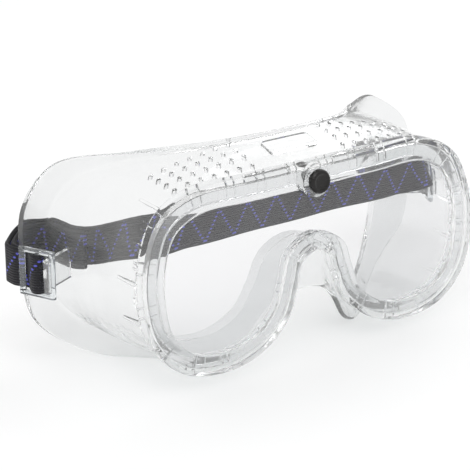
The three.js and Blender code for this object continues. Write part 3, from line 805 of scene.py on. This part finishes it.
def buildBuckle(side, sign):
    # two arms joined by three bars, with small rounded edges
    low, high = hang["height"] - hang["buckleHeight"] / 2, hang["height"] + hang["buckleHeight"] / 2
    inLow, inHigh = hang["height"] - hang["window"] / 2, hang["height"] + hang["window"] / 2
    bodies = [armBody(low, inLow), armBody(inHigh, high)]
    for along, halfLength, half in ((0, hang["frontBar"] / 2, hang["frontBar"] / 2),
                                    (hang["middlePlace"], hang["middleBar"] / 2, hang["middleBar"] / 2),
                                    (hang["span"], hang["rearLength"] / 2, hang["thickness"] / 2)):
        bodies.append(roundedBar(along, halfLength, half * 0.98, inLow - 0.5, inHigh + 0.5))
    if sign < 0:
        bodies = [flipped(body) for body in bodies]
    piece = gathered("buckle" + side, bodies[:1], buckleClear)
    other = gathered("arm", [bodies[1]], buckleClear)
    bar = gathered("bar", [bodies[2]], buckleClear)
    combined(bar, other, "UNION")
    combined(piece, bar, "UNION")
    for body in bodies[3:]:
        combined(piece, gathered("bar", [body], buckleClear), "UNION")
    rounding = piece.modifiers.new("roundEdges", "BEVEL")
    rounding.width = 0.35 * mm
    rounding.segments = 3
    rounding.limit_method = "ANGLE"
    rounding.angle_limit = math.radians(50)
    applied(piece)
    creased(piece, 60)
    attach(piece, side.lower() + "_buckle")
    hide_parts("buckle_" + side.lower())
    return piece


buckleRight = buildBuckle("Right", 1)
buckleLeft = buildBuckle("Left", -1)
print("buckles ready")

# the strap: millimetres; leans are for each millimetre of the width
strap = {
    "width": 14.5,
    "thickness": 1.24,
    "behindLens": 8.8,
    "frontHeight": 58.4,
    "backHeight": 44.3,
    "frontLean": 0.3,
    "turnLean": 0.5,
    "tailDrop": 0.9,
    "tailLength": 21.0,
    "plySpacing": 0.45,
    "nominal": 1.3,
    "step": 0.7,
    "waveHeight": 0.3,
    "waveOut": 0.16,
}


def strapCourse():
    # plan points of the right half: behind the lens, round the back edge,
    # round the buckle's middle bar, and back to the tail's end
    turnX, backEdge = hang["wallTurn"]
    edgeX, edgeY = hang["flangeEdge"]
    thick = strap["nominal"]
    pitch = thick + strap["plySpacing"]
    radius = hang["middleBar"] / 2 + shell["clearance"] + thick / 2
    outerPly = -(hang["thickness"] / 2 + shell["clearance"] + thick / 2)
    innerPly = outerPly - pitch
    innerTip = edgeX + thick / 2 + 1.2
    outerTip = innerTip + pitch + 0.1
    loopEnd = edgeY + 0.3
    reach = shell["flange"] + 0.95 * thick
    tail = np.array([
        (turnX - 5.4, backEdge - strap["tailLength"]), (turnX - 5.2, backEdge - 10), (turnX - 4.6, backEdge - 2.5),
        (turnX - 4, backEdge + 1.2), (turnX - 0.6, backEdge + reach), (turnX + 4.5, backEdge + reach - 0.3),
        (turnX + 10, backEdge + reach - 2.6), (edgeX - 0.4, edgeY + 5.2), (innerTip - 0.2, loopEnd + 2.2),
        (innerTip, loopEnd + 0.6)])
    along = np.diff(tail, axis=0)
    chord = unit(np.vstack([along[:1], tail[2:] - tail[:-2], along[-1:]]))
    beside = tail + (pitch + 0.45) * np.stack([-chord[:, 1], chord[:, 0]], -1)
    back = strap["behindLens"]
    front = np.array([(0, back), (turnX - 26, back), (turnX - 17.5, back + 0.8), (turnX - 12.7, back + 4),
                      (turnX - 10.4, back + 10), (turnX - 9.1, backEdge - 31)])
    angle = np.concatenate([0.2 + 0.8 * np.arange(1, 9) / 8, 1 + 0.15 * np.arange(1, 4)]) * math.pi
    loop = np.vstack([
        [(outerTip, loopEnd + 0.6), (outerTip, loopEnd), (outerTip - 0.35, loopEnd - 2)],
        onBuckle(np.array([hang["span"], hang["span"] - 1.7, hang["span"] - 3.4]),
                 np.array([outerPly, outerPly + 0.15, outerPly + 1.75])),
        onBuckle(hang["middlePlace"] + radius * np.cos(angle), radius * np.sin(angle)),
        onBuckle(np.array([hang["middlePlace"] + 2.4, hang["span"]]), np.array([innerPly + 1.35, innerPly])),
        [(innerTip - 0.4, loopEnd - 2), (innerTip, loopEnd)]])
    course = np.vstack([front, beside[1:-1], loop, tail[::-1]])
    loopFrom = len(front) + len(beside) - 2
    return course, (loopFrom, loopFrom + len(loop))


def strapHeights(across, back):
    # middle height: it falls along the wall and settles to the buckle's height outside
    turnX, backEdge = hang["wallTurn"]
    edgeX = hang["flangeEdge"][0]
    tip = edgeX + strap["nominal"] / 2 + 1.2
    drop = (strap["frontHeight"] - strap["backHeight"]) * smoothBetween(0.07 * backEdge, 0.9 * backEdge, back)
    settle = (strap["backHeight"] - hang["height"]) * smoothBetween(edgeX - 8, tip, across)
    return strap["frontHeight"] - drop - settle, 1 - smoothBetween(edgeX - 8, tip, across)


def strapRoute():
    # points at even steps along the course, their plan normals, heights, leans and lengths from the middle
    course, (loopFrom, loopTo) = strapCourse()
    mirrorPoint = course[1] * [-1, 1]
    control = np.column_stack([np.vstack([mirrorPoint, course]), np.zeros(len(course) + 1)])
    dense = np.linspace(1 / len(course), 1, 6000)
    line = centripetal(control, dense, False)[:, :2]
    index = dense * len(course) - 1
    length = np.concatenate([[0], np.cumsum(np.linalg.norm(np.diff(line, axis=0), axis=1))])
    even = np.linspace(0, length[-1], int(length[-1] / strap["step"]))
    at = np.column_stack([np.interp(even, length, line[:, 0]), np.interp(even, length, line[:, 1])])
    place = np.interp(even, length, index)
    tangent = unit(np.gradient(at, axis=0))
    normal = np.stack([tangent[:, 1], -tangent[:, 0]], -1)
    height, inside = strapHeights(at[:, 0], at[:, 1])
    onLoop = (place >= loopFrom) & (place <= loopTo - 1)
    onTail = place > loopTo - 1
    height = np.where(onLoop, hang["height"], height - np.where(onTail, strap["tailDrop"] * inside, 0))
    return {"at": at, "normal": normal, "height": height, "length": even, "onTail": onTail, "onLoop": onLoop}


def leans(at):
    # lean inward where the strap turns to the wall, and lean to the lens in front
    turnX, backEdge = hang["wallTurn"]
    across, back = np.abs(at[..., 0]), at[..., 1]
    turning = smoothBetween(turnX - 22, turnX - 14, across)
    inward = strap["turnLean"] * turning * (1 - smoothBetween(0.28 * backEdge, 0.58 * backEdge, back))
    forward = strap["frontLean"] * (1 - smoothBetween(turnX - 30, turnX - 18, across))
    return inward, forward


def sectionOfStrap():
    # outline of the flat band: height above its middle, and distance out of its middle plane
    half, thick = strap["width"] / 2, strap["thickness"] / 2
    flat = np.linspace(-half + 0.5, half - 0.5, 13)
    edge = np.linspace(90, -90, 7)[1:-1] * math.pi / 180
    above = np.concatenate([flat, half - 0.5 + 0.5 * np.cos(edge),
                            flat[::-1], -half + 0.5 - 0.5 * np.cos(edge)])
    out = np.concatenate([np.full(13, thick), thick * np.sin(edge),
                          np.full(13, -thick), -thick * np.sin(edge)])
    return above, out


def bandMesh(name, at, normal, height, length, calm):
    # the section is carried along the plan route, standing on edge,
    # with a slight ripple that dies out near the buckle
    above, out = sectionOfStrap()
    ripple = strap["waveHeight"] * np.sin(length / 8.7) * np.sin(length / 23 + 0.6) * calm
    sway = strap["waveOut"] * np.sin(length / 6.1 + 1) * calm
    inward, forward = leans(at)
    place = at[:, None] + normal[:, None] * (out[None, :, None] + sway[:, None, None])
    lift = height[:, None] + ripple[:, None] + above[None]
    across = place[..., 0] - above[None] * inward[:, None] * np.sign(at[:, :1])
    back = place[..., 1] - above[None] * forward[:, None]
    points = np.stack([across, back, lift], -1)
    rows, columns = points.shape[:2]
    faces = gridFaces(rows, columns, False, True).tolist()
    faces += [list(range(columns))[::-1], [(rows - 1) * columns + k for k in range(columns)]]
    piece = makeMesh(name, toFrame(points.reshape(-1, 3)), faces, dottedElastic)
    facedOut(piece)
    onBand = np.stack([np.repeat(length, columns), np.tile(above + strap["width"] / 2, rows)], -1)
    index = np.empty(len(piece.data.loops), int)
    piece.data.loops.foreach_get("vertex_index", index)
    layer = piece.data.uv_layers.new(name="weaveMap")
    layer.uv.foreach_set("vector", onBand[index].astype(np.float32).ravel())
    creased(piece, 70)
    return piece


def buildStrap():
    # one course cut into the long ply, the blended ends and the two tails
    route = strapRoute()
    split = 81.5  # across, where the ends leave the long ply and the tails
    outside = (route["at"][:, 0] > split)
    first = int(np.argmax(outside))
    last = len(outside) - 1 - int(np.argmax(outside[::-1]))
    calm = 1 - smoothBetween(route["length"][first] - 45, route["length"][first] - 8, route["length"])
    calm = np.where(route["onTail"], 0, calm)
    part = lambda key, low, high: route[key][low:high]
    flip = np.array([-1, 1])
    right = slice(0, first + 1)
    at = np.vstack([route["at"][right][:0:-1] * flip, route["at"][right]])
    normal = np.vstack([route["normal"][right][:0:-1] * flip, route["normal"][right]])
    join = lambda key, sign: np.concatenate([sign * route[key][right][:0:-1], route[key][right]])
    signed = np.concatenate([-route["length"][right][:0:-1], route["length"][right]])
    calmAll = np.concatenate([calm[right][:0:-1], calm[right]])
    band = bandMesh("strapBand", at, normal, join("height", 1), signed, calmAll)
    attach(band, "goggles")
    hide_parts("strap")
    for side, sign in (("Right", 1), ("Left", -1)):
        mirror = np.array([sign, 1])
        name = "strapEnd" + side
        end = bandMesh(name, part("at", first, last + 1) * mirror, part("normal", first, last + 1) * mirror,
                       part("height", first, last + 1), sign * part("length", first, last + 1), calm[first:last + 1])
        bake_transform(end)
        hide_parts("strap_loop_" + side.lower())
        tail = bandMesh("strapTail" + side, part("at", last, None) * mirror, part("normal", last, None) * mirror,
                        part("height", last, None), sign * part("length", last, None), calm[last:])
        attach(tail, "goggles")
        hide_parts("strap_tail_" + side.lower())


buildStrap()
print("strap ready")

room = {
    "floorHalf": 6.0,
    "floorColour": (0.95, 0.95, 0.95),
    "worldLight": 0.8,
    "keyPower": 5.0,
    "rimPower": 2.2,
}


def floorMaterial():
    n = Nodes("paperFloor")
    where = n.add("TexCoord").outputs["Object"]
    grain = n.noise(where, 90, 2.0)
    body = n.add("BsdfPrincipled")
    low = tuple(value * 0.995 for value in room["floorColour"])
    n.feed(body.inputs["Base Color"], n.blendColours(grain, (*low, 1), (*room["floorColour"], 1)))
    body.inputs["Roughness"].default_value = 0.9
    body.inputs["Specular IOR Level"].default_value = 0.1
    n.feed(n.output.inputs["Surface"], body.outputs[0])
    return n.material


half = room["floorHalf"]
floorPoints = np.array([(-half, -half, 0), (half, -half, 0), (half, half, 0), (-half, half, 0)])
floor = makeMesh("studioFloor", floorPoints, [(0, 1, 2, 3)], floorMaterial(), False)

world = bpy.data.worlds.new("studioWorld")
bpy.context.scene.world = world
world.use_nodes = True
world.node_tree.nodes["Background"].inputs[0].default_value = (1.0, 1.0, 1.0, 1)
world.node_tree.nodes["Background"].inputs[1].default_value = room["worldLight"]


def softBox(name, at, towards, size, power):
    light = bpy.data.lights.new(name, "AREA")
    light.shape = "RECTANGLE"
    light.size, light.size_y = size
    light.energy = power
    lamp = bpy.data.objects.new(name, light)
    lamp.location = at
    lamp.rotation_euler = (Vector(towards) - Vector(at)).to_track_quat("-Z", "Y").to_euler()
    bpy.context.scene.collection.objects.link(lamp)
    return lamp


softBox("keyBox", (-0.5, -0.5, 1.1), (0, 0, 0.04), (0.9, 0.6), room["keyPower"])
softBox("rimBox", (0.8, 0.5, 0.7), (0, 0, 0.04), (0.5, 0.7), room["rimPower"])

# angles in degrees, distance and target in millimetres of the part's frame
view = {
    "azimuth": 38.7,
    "elevation": 20.6,
    "distance": 656.9,
    "lens": 139.7,
    "target": (0.0, -30.1093, 45.6),
    "aimRight": -0.043152,
    "aimUp": 0.00022,
}


def placeCamera():
    a, e = math.radians(view["azimuth"]), math.radians(view["elevation"])
    ahead = Vector((math.sin(a) * math.cos(e), math.cos(a) * math.cos(e), -math.sin(e)))
    at = Vector(view["target"]) - ahead * view["distance"]
    right = ahead.cross(Vector((0, 0, 1))).normalized()
    up = right.cross(ahead)
    aim = (ahead + right * view["aimRight"] + up * view["aimUp"]).normalized()
    data = bpy.data.cameras.new("studioCamera")
    data.lens, data.sensor_width = view["lens"], 36.0
    data.clip_start = 0.02
    camera = bpy.data.objects.new("studioCamera", data)
    camera.location = at * mm
    turn = aim.to_track_quat("-Z", "Y")
    camera.rotation_euler = turn.to_euler()
    bpy.context.scene.collection.objects.link(camera)
    bpy.context.scene.camera = camera
    return camera


placeCamera()
scene = bpy.context.scene
scene.view_settings.view_transform = "Standard"
print("room, lights and camera ready")
